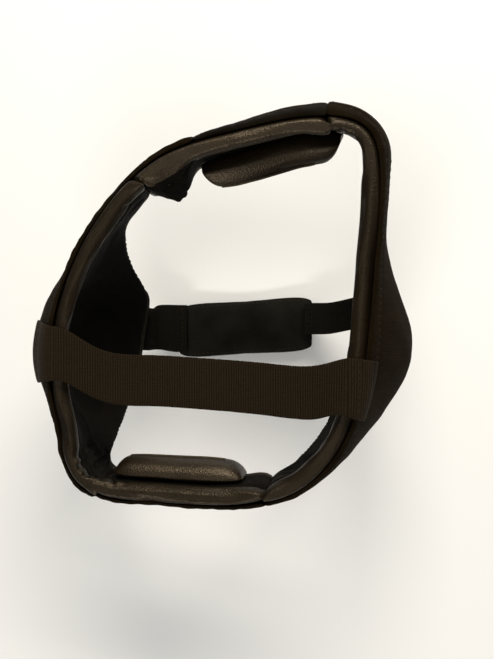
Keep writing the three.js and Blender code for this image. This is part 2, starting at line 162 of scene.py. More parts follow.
class Finish:
    def __init__(
        self, name, roughness, gloss, gloss_tint=NEUTRAL, sheen=0.0, sheen_tint=NEUTRAL
    ):
        self.material = bpy.data.materials.new(name)
        self.material.use_nodes = True
        self.tree = self.material.node_tree
        self.shader = self.tree.nodes["Principled BSDF"]
        self.shader.inputs["Roughness"].default_value = roughness
        self.shader.inputs["Sheen Weight"].default_value = sheen
        self.shader.inputs["Sheen Roughness"].default_value = SHEEN_ROUGHNESS
        self.shader.inputs["Sheen Tint"].default_value = sheen_tint
        self.shader.inputs["Specular IOR Level"].default_value = gloss
        self.shader.inputs["Specular Tint"].default_value = gloss_tint

    def node(self, kind, settings=None, **inputs):
        made = self.tree.nodes.new(kind)
        for key, value in (settings or {}).items():
            setattr(made, key, value)
        for key, value in inputs.items():
            self.feed(made, key.replace("_", " "), value)
        return made

    def feed(self, node, key, value):
        if isinstance(value, bpy.types.NodeSocket):
            self.tree.links.new(value, node.inputs[key])
        else:
            node.inputs[key].default_value = value

    def place(self, source, scale=(1, 1, 1)):
        spot = self.node("ShaderNodeTexCoord").outputs[source]
        return self.node("ShaderNodeMapping", Vector=spot, Scale=scale).outputs["Vector"]

    def noise(self, vector, scale, detail, roughness=0.5):
        made = self.node("ShaderNodeTexNoise", Vector=vector, Scale=scale, Detail=detail)
        made.inputs["Roughness"].default_value = roughness
        return made.outputs["Fac"]

    def wave(self, vector, period, direction, wobble):
        made = self.node("ShaderNodeTexWave", {"bands_direction": direction}, Vector=vector)
        made.inputs["Scale"].default_value = WAVE_BAND / period
        made.inputs["Distortion"].default_value = wobble
        made.inputs["Detail"].default_value = 1.0
        return made.outputs["Fac"]

    def math(self, operation, a, b):
        made = self.node("ShaderNodeMath", {"operation": operation})
        self.feed(made, 0, a)
        self.feed(made, 1, b)
        return made.outputs["Value"]

    def ramp(self, fac, dark, light, start, end):
        made = self.node("ShaderNodeValToRGB", Fac=fac)
        made.color_ramp.elements[0].position = start
        made.color_ramp.elements[1].position = end
        made.color_ramp.elements[0].color = (*dark, 1)
        made.color_ramp.elements[1].color = (*light, 1)
        return made.outputs["Color"]

    def colour(self, socket):
        self.feed(self.shader, "Base Color", socket)

    def roughness(self, fac, low, high):
        made = self.node("ShaderNodeMapRange", Value=fac, To_Min=low, To_Max=high)
        self.feed(self.shader, "Roughness", made.outputs["Result"])

    def bump(self, height, distance, strength, under=None):
        made = self.node("ShaderNodeBump", Height=height, Distance=distance, Strength=strength)
        if under is not None:
            self.feed(made, "Normal", under)
        self.feed(self.shader, "Normal", made.outputs["Normal"])
        return made.outputs["Normal"]


print("material helper ready")

# %% [markdown]
# The outside of the ear pads and bands is a stretch knit: rows of tiny loops, matt, with a soft
# fuzz that catches light at the turning edges. Two crossed waves, multiplied, give one loop for
# each crossing. The rows follow the ring, so they are drawn on the piece's own UV map, which is
# measured in metres.

# %% Knit cover material
def crossed_rows(finish, column, row, wobble):
    place = finish.place("UV")
    columns = finish.wave(place, column, "X", wobble)
    rows = finish.wave(place, row, "Y", wobble)
    return finish.math("MULTIPLY", columns, rows)


knit = Finish("stretch_knit", 0.9, 0.035, WARM, sheen=0.008, sheen_tint=DEEP_WARM)
knit_loops = crossed_rows(knit, 0.0012, 0.0009, 0.6)
knit_cloud = knit.noise(knit.place("Object"), 70.0, 5.0, 0.6)
knit_mixed = knit.math("MULTIPLY", knit_cloud, knit.math("ADD", knit_loops, 0.9))
knit.colour(knit.ramp(knit_mixed, (0.0028, 0.0019, 0.0008), (0.0110, 0.0074, 0.0034), 0.25, 0.95))
knit.roughness(knit_loops, 0.82, 0.95)
knit_soft = knit.bump(knit_cloud, 0.0006, 0.35)
knit.bump(knit_loops, 0.00025, 0.9, knit_soft)

# %% [markdown]
# The rolled edges are a thin synthetic leather: a fine pebbled grain of small cells, a mild shine
# that varies with handling, and a soft unevenness from the foam under it. The leather of the ear
# pads and the rear band is duller than that of the front and of the loose pads, and painted darker
# as shade, so one recipe makes both. The inside of the domes is a flat black jersey, its near-black
# colour painted shade for the dim hollow of each dome.

# %% Lining materials
def pebbled_leather(name, gloss, dark, light):
    leather = Finish(name, 0.5, gloss, WARM)
    place = leather.place("Object")
    cells = leather.node("ShaderNodeTexVoronoi", {"feature": "F1"}, Vector=place, Scale=1150.0)
    cloud = leather.noise(place, 55.0, 6.0, 0.62)
    handled = leather.noise(place, 230.0, 4.0, 0.6)
    leather.colour(leather.ramp(cloud, dark, light, 0.3, 0.75))
    leather.roughness(handled, 0.32, 0.48)
    soft = leather.bump(handled, 0.0006, 0.15)
    leather.bump(cells.outputs["Distance"], 0.00025, 0.55, soft)
    return leather


lining = pebbled_leather(
    "lining_leather", 0.42, (0.0046, 0.0031, 0.0015), (0.0140, 0.0095, 0.0047)
)
# A darker, duller copy of the leather for the arms and the rear band: the lower gloss is its own, the
# darker colour is painted shade.
arm_lining_painted_shade = pebbled_leather(
    "arm_leather_painted_shade", 0.26, (0.0032, 0.0022, 0.0011), (0.0100, 0.0068, 0.0034)
)

# The jersey's near-black colour is painted shade for the dim hollow of each dome.
painted_shade_jersey = Finish("inner_jersey_painted_shade", 0.9, 0.06, sheen=0.008)
painted_shade_jersey_rows = crossed_rows(painted_shade_jersey, 0.0010, 0.0008, 0.5)
painted_shade_jersey_cloud = painted_shade_jersey.noise(painted_shade_jersey.place("Object"), 65.0, 5.0, 0.6)
painted_shade_jersey.colour(painted_shade_jersey.ramp(painted_shade_jersey_cloud, (0.0016, 0.0015, 0.0012), (0.0062, 0.0052, 0.0040), 0.3, 0.8))
painted_shade_jersey.roughness(painted_shade_jersey_cloud, 0.75, 0.95)
painted_shade_jersey_soft = painted_shade_jersey.bump(painted_shade_jersey_cloud, 0.0006, 0.3)
painted_shade_jersey.bump(painted_shade_jersey_rows, 0.0002, 0.8, painted_shade_jersey_soft)

# %% [markdown]
# The straps are woven elastic. Rubber threads run along them and a fine weft crosses in close ribs,
# so the face shows short bars. The threads never sink out of sight between the ribs, so a constant
# is added to their wave before the two are multiplied. Both follow the strap's own UV map.

# %% Elastic material
WARP_FLOOR = 0.35


def ribbed_weave(finish, rib, rib_wobble, warp, warp_wobble):
    place = finish.place("UV")
    ribs = finish.wave(place, rib, "X", rib_wobble)
    warps = finish.wave(place, warp, "Y", warp_wobble)
    return finish.math("MULTIPLY", ribs, finish.math("ADD", warps, WARP_FLOOR))


elastic = Finish("ribbed_elastic", 0.86, 0.1, WARM, sheen=0.010, sheen_tint=WARM)
elastic_weave = ribbed_weave(elastic, 0.0013, 0.35, 0.0009, 0.25)
elastic_cloud = elastic.noise(elastic.place("Object"), 260.0, 3.0)
elastic_mixed = elastic.math("MULTIPLY", elastic.math("ADD", elastic_cloud, 1.2), elastic_weave)
elastic.colour(elastic.ramp(elastic_mixed, (0.0048, 0.0035, 0.0020), (0.0195, 0.0143, 0.0083), 0.1, 1.5))
elastic.roughness(elastic_weave, 0.78, 0.92)
elastic.bump(elastic_weave, 0.00035, 0.9)

# %% [markdown]
# The front panel is a smoother satin cloth, left bare. The chin pad has a brushed, close fabric that
# looks cooler than the rest, with fibres drawn out along one axis, and its straps are a darker
# webbing. The thread of the seams is a little lighter than what it sews.

# %% Panel, chin and thread materials
satin = Finish("panel_satin", 0.7, 0.04, WARM)
satin_weave = crossed_rows(satin, 0.0007, 0.0005, 0.3)
satin_cloud = satin.noise(satin.place("Object"), 90.0, 4.0)
satin.colour(satin.ramp(satin_cloud, (0.0014, 0.0010, 0.0005), (0.0042, 0.0031, 0.0016), 0.3, 0.75))
satin.roughness(satin_cloud, 0.6, 0.8)
satin.bump(satin_weave, 0.00015, 0.6)

brushed = Finish("chin_brushed", 0.8, 0.08, sheen=0.01, sheen_tint=(0.9, 0.95, 1.0, 1))
brushed_fibres = brushed.noise(brushed.place("Object", (0.35, 1, 1)), 1500.0, 3.0)
brushed_cloud = brushed.noise(brushed.place("Object"), 60.0, 4.0)
brushed.colour(brushed.ramp(brushed_cloud, (0.0030, 0.0032, 0.0028), (0.0100, 0.0100, 0.0082), 0.3, 0.75))
brushed.roughness(brushed_cloud, 0.70, 0.88)
brushed.bump(brushed_fibres, 0.00025, 0.7)

webbing = Finish("chin_webbing", 0.85, 0.1)
webbing_weave = ribbed_weave(webbing, 0.0014, 0.4, 0.0010, 0.3)
webbing.colour(webbing.ramp(webbing_weave, (0.0022, 0.0021, 0.0015), (0.0092, 0.0086, 0.0062), 0.0, 1.2))
webbing.roughness(webbing_weave, 0.75, 0.92)
webbing.bump(webbing_weave, 0.00035, 0.9)

thread = Finish("seam_thread", 0.6, 0.2, WARM)
thread_twist = thread.noise(thread.place("Object"), 2400.0, 2.0)
thread.colour(thread.ramp(thread_twist, (0.0040, 0.0030, 0.0018), (0.0125, 0.0095, 0.0058), 0.3, 0.75))
thread.bump(thread_twist, 0.0001, 0.6)
print("finishes:", [m.name for m in bpy.data.materials if m.name != "floor_paint"])

# %% [markdown]
# Each soft piece starts as a clean copy of its solid: loose triangles are merged and paired into
# quads, because a subdivision surface runs smoothly over quads and lumpily over triangles.

# %% Helpers for pieces
MERGE_DISTANCE = 4e-6
QUAD_ANGLE = math.radians(70)


def clean_copy(node, name):
    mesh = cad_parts[node].data.copy()
    mesh.name = name
    mesh.materials.clear()
    bm = bmesh.new()
    bm.from_mesh(mesh)
    bmesh.ops.remove_doubles(bm, verts=bm.verts, dist=MERGE_DISTANCE)
    bmesh.ops.join_triangles(
        bm, faces=bm.faces, angle_face_threshold=QUAD_ANGLE, angle_shape_threshold=QUAD_ANGLE
    )
    bm.to_mesh(mesh)
    bm.free()
    piece = bpy.data.objects.new(name, mesh)
    bpy.context.collection.objects.link(piece)
    return piece


def settle(piece):
    graph = bpy.context.evaluated_depsgraph_get()
    made = bpy.data.meshes.new_from_object(piece.evaluated_get(graph))
    made.name = piece.name
    piece.modifiers.clear()
    piece.data = made
    return piece


def finish_piece(piece, finish, node=None):
    piece.data.materials.clear()
    piece.data.materials.append(finish.material)
    for face in piece.data.polygons:
        face.material_index = 0
    piece.data.shade_smooth()
    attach(piece, "root")
    if node:
        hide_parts(node)
    print(piece.name, len(piece.data.polygons), "faces")
    return piece


# %% [markdown]
# Seams, stitches and weaves all follow the ring, so the ring is measured first. Rays from its middle
# find the inner and the outer wall of the linings just under the top edge, and halfway between them
# runs the ring line. A place on the ring is then a length along this line from the front left seam.

# %% The ring line
LINING_NODES = ("front_lining", "right_lining", "rear_lining", "left_lining")
RING_MIDDLE = Vector((0.0, -0.033, 0.012))
EDGE_DEPTH = Vector((0, 0, 0.0045))
FRONT_LEFT_BEARING = -36
RAY_LENGTH = 0.2


def wall_tree(piece):
    return BVHTree.FromObject(piece, bpy.context.evaluated_depsgraph_get())


lining_trees = {node: wall_tree(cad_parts[node]) for node in LINING_NODES}
ring_line = []
ring_nodes = []
for degree in range(360):
    angle = math.radians(FRONT_LEFT_BEARING - degree)
    way = Vector((math.cos(angle), math.sin(angle), 0))
    below_edge = RING_MIDDLE - EDGE_DEPTH
    for node, tree in lining_trees.items():
        inner = tree.ray_cast(below_edge, way, RAY_LENGTH)[0]
        outer = tree.ray_cast(below_edge + way * RAY_LENGTH, -way, RAY_LENGTH)[0]
        if inner and outer:
            ring_line.append((inner + outer) / 2 + EDGE_DEPTH)
            ring_nodes.append(node)
            break
first = next(k for k in range(len(ring_nodes)) if ring_nodes[k - 1] == "left_lining" != ring_nodes[k])
ring_line = ring_line[first:] + ring_line[:first]
ring_steps = [(b - a).length for a, b in zip(ring_line, ring_line[1:] + ring_line[:1])]
ring_marks = np.concatenate([[0.0], np.cumsum(ring_steps)])
RING_LENGTH = float(ring_marks[-1])
print("ring length in mm:", round(RING_LENGTH * MM_PER_M, 1), "from", len(ring_line), "points")

# %% [markdown]
# The helpers below work both ways: from a length along the ring to a point on a piece's inner or
# outer wall, as a seam needs it, and from a piece's points back to their place along and down the
# ring. The second is also how a weave is laid on a piece, since it is the piece's UV map. On level
# stretches, where a point's depth hardly changes, its distance aside keeps the weave from smearing.

# %% Places on the ring and its walls
TANGENT_STEP = 0.005
WALL_REACH = 0.075
NEIGHBOURS = 20
ASIDE_SHARE = 0.6


def ring_at(length):
    length = length % RING_LENGTH
    k = min(int(np.searchsorted(ring_marks, length, side="right")) - 1, len(ring_line) - 1)
    share = (length - ring_marks[k]) / max(ring_steps[k], 1e-9)
    return ring_line[k].lerp(ring_line[(k + 1) % len(ring_line)], share)


def ring_outward(length):
    along = ring_at(length + TANGENT_STEP) - ring_at(length - TANGENT_STEP)
    side = Vector((along.y, -along.x, 0)).normalized()
    return side if side.dot(ring_at(length) - RING_MIDDLE) > 0 else -side


def wall_point(tree, length, drop, side):
    outward = ring_outward(length)
    start = ring_at(length) + outward * (WALL_REACH * side) - Vector((0, 0, drop))
    spot, normal, _, _ = tree.ray_cast(start, -outward * side, 2 * WALL_REACH)
    return spot, normal


def seam_on(tree, start, end, drop, side, spacing):
    count = max(2, int(abs(end - start) / spacing))
    found = []
    for k in range(count + 1):
        spot, normal = wall_point(tree, start + (end - start) * (k / count), drop, side)
        if spot is not None:
            found.append((spot, normal))
    return found


def write_uv(piece, along, down):
    mesh = piece.data
    layer = mesh.uv_layers.new(name="along_and_down")
    corners = np.empty(len(mesh.loops), dtype=np.int64)
    mesh.loops.foreach_get("vertex_index", corners)
    flat = np.stack([along[corners], down[corners]], axis=1).ravel()
    layer.data.foreach_set("uv", flat)


def points_of(piece):
    co = np.empty(len(piece.data.vertices) * 3)
    piece.data.vertices.foreach_get("co", co)
    return co.reshape(-1, 3)


def move_points(piece, co):
    piece.data.vertices.foreach_set("co", co.ravel())
    piece.data.update()


ring_flat = np.array([tuple(p.xy) for p in ring_line + ring_line[:1]])
ring_from_middle = ring_flat[:-1] - np.array(RING_MIDDLE.xy)
ring_bearings = np.arctan2(ring_from_middle[:, 1], ring_from_middle[:, 0])
ring_turns = (ring_bearings[0] - ring_bearings) % (2 * math.pi)


def ring_places(co):
    here = co[:, :2] - np.array(RING_MIDDLE.xy)
    turns = (ring_bearings[0] - np.arctan2(here[:, 1], here[:, 0])) % (2 * math.pi)
    guess = np.searchsorted(ring_turns, turns)
    picks = (guess[:, None] + np.arange(-NEIGHBOURS, NEIGHBOURS)) % len(ring_line)
    starts = ring_flat[:-1][picks]
    spans = (ring_flat[1:] - ring_flat[:-1])[picks]
    gone = co[:, None, :2] - starts
    ratio = ((gone * spans).sum(2) / (spans**2).sum(2)).clip(0, 1)
    gaps = np.linalg.norm(gone - ratio[..., None] * spans, axis=2)
    best = gaps.argmin(1)
    rows = np.arange(len(co))
    pick = picks[rows, best]
    along = ring_marks[pick] + ratio[rows, best] * np.array(ring_steps)[pick]
    return along, ring_line[0].z - co[:, 2], gaps[rows, best]


def ring_uv(piece):
    along, down, aside = ring_places(points_of(piece))
    write_uv(piece, along, down + ASIDE_SHARE * aside)


# %% [markdown]
# Folds, seam grooves and the soft unevenness of stuffed cloth are moves of the points along their
# own normals. A groove is a row of a table: two ends in mm along and down the ring, a height and a
# half width. The unevenness is a sum of seeded waves, so it comes out the same on every run. Only
# points that face the wanted side are moved, so the two walls of a piece stay apart.

# %% Relief on the ring
RIPPLE_WAVES = 18
FACING_SLOPE = 2.2
RING_SAMPLES = 360


def ripple(co, size, seed):
    rng = np.random.default_rng(seed)
    ways = rng.normal(size=(RIPPLE_WAVES, 3))
    ways /= np.linalg.norm(ways, axis=1, keepdims=True)
    pace = 2 * math.pi / (size * rng.uniform(0.6, 1.6, RIPPLE_WAVES))
    phase = rng.uniform(0, 2 * math.pi, RIPPLE_WAVES)
    return np.cos(co @ (ways * pace[:, None]).T + phase).sum(1) / math.sqrt(RIPPLE_WAVES)


def bell(distance, half):
    return np.exp(-((distance / half) ** 2))


def groove_heights(along, down, rows):
    total = np.zeros(len(along))
    for start, end, height, half in rows:
        a = np.array(start) / MM_PER_M
        span = np.array(end) / MM_PER_M - a
        here = np.stack([along, down], axis=1) - a
        ratio = ((here * span).sum(1) / (span**2).sum()).clip(0, 1)
        gap = np.linalg.norm(here - ratio[:, None] * span, axis=1)
        total += height / MM_PER_M * bell(gap, half / MM_PER_M)
    return total


def normals_of(piece):
    return np.array([tuple(v.normal) for v in piece.data.vertices])


def relief(piece, side, heights):
    co = points_of(piece)
    normals = normals_of(piece)
    along, down, _ = ring_places(co)
    marks = np.linspace(0, RING_LENGTH, RING_SAMPLES + 1)
    outs = np.array([tuple(ring_outward(m)) for m in marks])
    nearest = np.rint(along / RING_LENGTH * RING_SAMPLES).astype(int) % (RING_SAMPLES + 1)
    facing = (normals * outs[nearest]).sum(1) * side
    share = np.clip(facing * FACING_SLOPE, 0, 1)
    move_points(piece, co + normals * (heights(along, down, co) * share)[:, None])


def divide(piece, times):
    surface = piece.modifiers.new("dividing", "SUBSURF")
    surface.levels = times
    surface.render_levels = times
    return settle(piece)


# %% [markdown]
# The solids of neighbouring linings stand a hair apart, but real ones are sewn together. So the ends
# of each piece are found as the widest jump between its points' places on the ring, and their
# points are pressed towards the neighbour until the foam closes the gap.

# %% Ends of the pieces on the ring
END_ZONE = 0.0042
PRESS_STEP = 0.003
COVER_NODES = ("left_cover", "right_cover", "rear_cover", "front_panel")


def ends_of(node):
    co = points_of(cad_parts[node])
    along, _, _ = ring_places(co)
    marks = np.sort(np.unique(along.round(4)))
    jumps = np.diff(np.append(marks, marks[0] + RING_LENGTH))
    widest = int(jumps.argmax())
    return float(marks[(widest + 1) % len(marks)]), float(marks[widest])


node_ends = {node: ends_of(node) for node in LINING_NODES + COVER_NODES}
print({node: [round(v * MM_PER_M) for v in ends] for node, ends in node_ends.items()})


def ring_distance(a, b):
    return abs((a - b + RING_LENGTH / 2) % RING_LENGTH - RING_LENGTH / 2)


def press_ends(piece, node, amount):
    along, _, _ = ring_places(points_of(piece))
    start, end = node_ends[node]
    for vert, place in zip(piece.data.vertices, along):
        from_start = ring_distance(place, start)
        from_end = ring_distance(place, end)
        if min(from_start, from_end) < END_ZONE:
            way = -1 if from_start < from_end else 1
            forward = (ring_at(place + PRESS_STEP) - ring_at(place - PRESS_STEP)).normalized()
            vert.co += forward * way * amount


# %% [markdown]
# Every padded piece gets the shape of a filled cover. Its copy is divided into small even quads,
# made a little smaller, blown up by cloth pressure without gravity, and held near its solid by a
# cap on the moves. Dividing the quads keeps the sewn edges smoother than a voxel remesh does.

# %% Filling a padded piece
FILL_SHRINK = 0.0006
FILL_PRESSURE = 4.0
FILL_FRAMES = 20
SOFTEN_TIMES = 4


def fill_out(piece, cap):
    divide(piece, 2)
    move_points(piece, points_of(piece) - normals_of(piece) * FILL_SHRINK)
    before = points_of(piece)
    cloth = piece.modifiers.new("filling", "CLOTH")
    cloth.settings.quality = 4
    cloth.settings.mass = 0.2
    cloth.settings.use_pressure = True
    cloth.settings.uniform_pressure_force = FILL_PRESSURE
    cloth.settings.effector_weights.gravity = 0
    cloth.point_cache.frame_start = 1
    cloth.point_cache.frame_end = FILL_FRAMES
    for number in range(1, FILL_FRAMES + 1):
        bpy.context.scene.frame_set(number)
    settle(piece)
    moved = points_of(piece) - before
    size = np.linalg.norm(moved, axis=1, keepdims=True)
    moved *= np.minimum(1, cap / np.maximum(size, 1e-9))
    move_points(piece, before + moved)
    bpy.context.scene.frame_set(1)
    soften = piece.modifiers.new("softening", "SMOOTH")
    soften.factor = 0.5
    soften.iterations = SOFTEN_TIMES
    settle(piece)
    print(piece.name, "filled, largest move in mm:", round(float(size.max()) * MM_PER_M, 1))


# %% [markdown]
# The four linings carry the ring: foam in a thin synthetic leather that shows inside the domes and
# as the thick roll along both edges. A seam parts the roll from the inside of the dome. The inside
# is creased where the ring turns its corners. The seams follow the top and the low edge at a fixed
# depth, so they are measured from the edge, and only the creases need a table of their own.

# %% Foam linings
EDGE_SEAM = 8.4 / MM_PER_M
# Across the gathered front corner the painted shade of the inside starts closer to the top edge.
GATHER_SHADE_DEPTH = 4.6 / MM_PER_M
GATHER_SHADE_SPAN = (0.002, 0.036)
LOW_ROLL = 6.5 / MM_PER_M
SEAM_HEIGHT = -0.0010
SEAM_HALF = 0.0011
LINING_PRESS = 0.0050
LINING_CAP = 0.0012
LOW_BINS_PER_M = 500
INWARD_LIMIT = 0.35
LINING_CREASES = {
    "front_lining": (
        ((2, 2), (11, 13), -0.9, 1.2),
        ((6, 1), (18, 9), -0.8, 1.2),
        ((9, 14), (15, 33), -1.1, 1.4),
        ((21, 12), (24, 34), -1.3, 1.6),
    ),
    "right_lining": (
        ((110, 3), (116, 17), -0.8, 1.3),
        ((117, 2), (123, 20), -1.0, 1.3),
        ((125, 4), (128, 15), -0.6, 1.2),
        ((300, 14), (322, 24), -0.7, 1.8),
        ((308, 24), (327, 36), -0.6, 1.6),
    ),
    "rear_lining": (
        ((332, 5), (338, 16), -0.7, 1.3),
        ((412, 4), (418, 18), -0.9, 1.3),
        ((405, 6), (413, 13), -0.6, 1.2),
    ),
    "left_lining": (
        ((424, 6), (431, 36), -1.3, 1.6),
        ((431, 10), (440, 46), -1.2, 1.5),
        ((439, 14), (447, 32), -0.8, 1.3),
        ((432, 17), (474, 20), 0.9, 2.2),
        ((436, 27), (478, 31), 0.8, 2.5),
        ((440, 39), (482, 43), 0.7, 2.5),
        ((588, 4), (597, 15), -0.8, 1.3),
        ((580, 14), (596, 24), -0.7, 1.5),
    ),
}


def low_depths(along, down):
    bins = (along * LOW_BINS_PER_M).astype(int)
    deepest = np.zeros(bins.max() + 1)
    np.maximum.at(deepest, bins, down)
    wide = np.array([deepest[max(0, k - 1):k + 2].max() for k in range(len(deepest))])
    return wide[bins]


# Faces inside the dome, below the edge seam and above the low roll, get the black jersey as painted
# shade.
def paint_inside_shade(piece):
    mesh = piece.data
    mesh.materials.append(painted_shade_jersey.material)
    centres = np.array([tuple(face.center) for face in mesh.polygons])
    along, down, _ = ring_places(centres)
    shaded_gather = (along > GATHER_SHADE_SPAN[0]) & (along < GATHER_SHADE_SPAN[1])
    tops = np.where(shaded_gather, GATHER_SHADE_DEPTH, EDGE_SEAM)
    lows = low_depths(along, down) - LOW_ROLL
    for face, depth, top, low in zip(mesh.polygons, down, tops, lows):
        out = Vector((face.center.x, face.center.y, 0)) - Vector((*RING_MIDDLE.xy, 0))
        if top < depth < low and face.normal.dot(out.normalized()) < INWARD_LIMIT:
            face.material_index = 1


linings = {}
for order, node in enumerate(LINING_NODES):
    piece = clean_copy(node, node.replace("lining", "foam_lining"))
    press_ends(piece, node, LINING_PRESS)
    fill_out(piece, LINING_CAP)
    divide(piece, 1)

    def inside(along, down, co, rows=LINING_CREASES[node], seed=order):
        below = np.clip((down - 0.007) / 0.004, 0, 1)
        soft = ripple(co, 0.016, seed) * (0.00007 + 0.00018 * below)
        seam = SEAM_HEIGHT * bell(down - EDGE_SEAM, SEAM_HALF)
        low_seam = SEAM_HEIGHT * bell(down - low_depths(along, down) + LOW_ROLL, SEAM_HALF)
        return soft + seam + low_seam + groove_heights(along, down, rows)

    relief(piece, -1, inside)
    ring_uv(piece)
    # The front lining takes the lighter leather, the other linings the copy painted darker as shade.
    finish_piece(piece, lining if node == "front_lining" else arm_lining_painted_shade, node)
    paint_inside_shade(piece)
    linings[node] = piece

# %% [markdown]
# Over the foam's outer side lies the knit cover, a thin padded layer sewn down along both edges. The
# front has a bare satin panel in its place. It could be inflated like the foam, but it is so thin
# that its walls would cross, so its relief is moved in directly: short puckers that run in from the
# sewn edges, the seam, and a fuller middle of the right dome.

# %% Covers and front panel
COVER_PRESS = 0.0007
COVER_SEAM = 0.0072
COVER_SEAM_HEIGHT = -0.00045
PUCKER_PERIOD = 0.0085
PUCKER_HEIGHT = 0.00016
COVERS = (
    ("left_cover", knit, "knit"),
    ("right_cover", knit, "knit"),
    ("rear_cover", knit, "knit"),
    ("front_panel", satin, "panel"),
)
DOME_FULLNESS = {"right_cover": (((231, 52), (231, 60), 2.1, 26.0),)}
FIRST_COVER_SEED = 20

covers = {}
for order, (node, finish, slot) in enumerate(COVERS):
    piece = clean_copy(node, "outer_" + node)
    press_ends(piece, node, COVER_PRESS)
    divide(piece, 2)

    def outside(along, down, co, rows=DOME_FULLNESS.get(node, ()), seed=order + FIRST_COVER_SEED):
        turns = along * 2 * math.pi / PUCKER_PERIOD + 2 * np.sin(along * 90)
        pucker = np.cos(turns) * PUCKER_HEIGHT * bell(down - 0.006, 0.005)
        seam = COVER_SEAM_HEIGHT * bell(down - COVER_SEAM, SEAM_HALF)
        full = groove_heights(along, down, rows)
        return pucker + seam + full + ripple(co, 0.022, seed) * 0.00025

    relief(piece, 1, outside)
    ring_uv(piece)
    finish_piece(piece, finish, node)
    covers[node] = piece

# %% [markdown]
# Two loose pads stand inside the ring, one at the forehead and one at the neck, and the chin rests
# on a flat cushion with rounded corners, of a closer fabric. All three are plump, closed forms, so
# they are filled by cloth pressure as the linings are. A box with bevelled edges would do for a
# distant view, but it has no crown, and its sides don't pull in between the corners.

# %% Forehead, neck and chin pads
LOOSE_PADS = (
    ("forehead_pad", lining, "lining", 0.003, 0.85),
    ("neck_pad", lining, "lining", 0.003, 0.85),
    ("chin_pad", brushed, "chin_fabric", 0.002, 0.8),
)

pads = {}
for node, finish, slot, cap, fill in LOOSE_PADS:
    piece = clean_copy(node, node.replace("pad", "cushion"))
    fill_out(piece, cap)
    divide(piece, 1)
    finish_piece(piece, finish, node)
    pads[node] = piece

# %% [markdown]
# The straps are flat woven elastic, modelled directly on their solids. A strap's path is the line of
# its mean points along its length, and the weave is laid out on the length along this path. The
# crown strap lies slack, with shallow folds across it, and the chin straps end in a folded hem: a
# low step in the upper face.

# %% Straps
STRAP_KEYS = {
    "crown_strap": (1.0, 0.0, 0.0),
    "chin_strap_left": (-1.0, 0.0, -1.0),
    "chin_strap_right": (1.0, 0.0, -1.0),
}
STRAP_FOLDS = {
    "crown_strap": (
        (0.035, 0.25, -0.0007, 0.0022),
        (0.074, 0.10, -0.0010, 0.0026),
        (0.128, -0.15, 0.0006, 0.0060),
    ),
}
HEMS = {"chin_strap_left": 0.0085, "chin_strap_right": 0.0075}
HEM_HEIGHT = 0.0009
HEM_EDGE = 0.0012
PATH_BINS = 30


def strap_path(co, key):
    keys = co @ np.array(key)
    edges = np.linspace(keys.min(), keys.max() + 1e-9, PATH_BINS + 1)
    which = np.digitize(keys, edges) - 1
    return np.array([co[which == k].mean(0) for k in range(PATH_BINS) if (which == k).any()])


def strap_places(co, path):
    flat = path[:, [0, 2]]
    spans = np.diff(flat, axis=0)
    sizes = np.linalg.norm(spans, axis=1)
    marks = np.concatenate([[0], np.cumsum(sizes)])
    here = co[:, None, [0, 2]] - flat[:-1]
    ratio = ((here * spans).sum(2) / (sizes**2)).clip(0, 1)
    gaps = np.linalg.norm(here - ratio[..., None] * spans, axis=2)
    best = gaps.argmin(1)
    return marks[best] + ratio[np.arange(len(co)), best] * sizes[best]


straps = {}
strap_lengths = {}
for node, key in STRAP_KEYS.items():
    piece = clean_copy(node, node + "_webbing")
    divide(piece, 2)
    co = points_of(piece)
    along = strap_places(co, strap_path(co, key))
    for start_mark, slant, height, half in STRAP_FOLDS.get(node, ()):
        place = start_mark + slant * (co[:, 1] - co[:, 1].mean())
        co[:, 2] += height * bell(along - place, half)
    if node in HEMS:
        upper = np.clip(normals_of(piece)[:, 2] * 3, 0, 1)
        step = np.clip((along - along.max() + HEMS[node]) / HEM_EDGE, 0, 1)
        co[:, 2] += HEM_HEIGHT * step * upper
    move_points(piece, co)
    write_uv(piece, along, co[:, 1])
    finish_piece(piece, elastic if node == "crown_strap" else webbing, node)
    straps[node] = piece
    strap_lengths[node] = float(along.max())
    print(node, "length in mm:", round(strap_lengths[node] * MM_PER_M))

# %% [markdown]
# Seams are sewn through with thread. A row of stitches is a row of small stretched beads laid along
# points found on the finished pieces, each turned to the way of its seam and to the cloth under it.
# A bead has few faces, because there are hundreds. Pairs of points that lie too close or too far
# apart are skipped, so that no stitch spans a gap.

# %% Stitching tools
STITCH_LENGTH = 0.0023
STITCH_WIDTH = 0.00036
STITCH_FLATNESS = 0.8
SHORTEST_PAIR = 0.0012
LONGEST_PAIR = 0.0055
LOW_EDGE_SEARCH = np.arange(0.118, 0.02, -0.0015)


def stitch_row(name, rows):
    bm = bmesh.new()
    for places in rows:
        for (a, up), (b, _) in zip(places, places[1:]):
            if not SHORTEST_PAIR < (b - a).length < LONGEST_PAIR:
                continue
            forward = (b - a).normalized()
            side = up.cross(forward).normalized()
            turn = Matrix((forward, side, forward.cross(side))).transposed().to_4x4()
            size = Matrix.Diagonal(
                (STITCH_LENGTH / 2, STITCH_WIDTH, STITCH_WIDTH * STITCH_FLATNESS, 1)
            )
            place = Matrix.Translation((a + b) / 2)
            bmesh.ops.create_uvsphere(
                bm, u_segments=7, v_segments=5, radius=1, matrix=place @ turn @ size
            )
    mesh = bpy.data.meshes.new(name)
    bm.to_mesh(mesh)
    bm.free()
    piece = bpy.data.objects.new(name, mesh)
    bpy.context.collection.objects.link(piece)
    return finish_piece(piece, thread)


def smooth_line(line, times):
    for _ in range(times):
        line[1:-1] = [(a + b * 2 + c) / 4 for a, b, c in zip(line, line[1:], line[2:])]


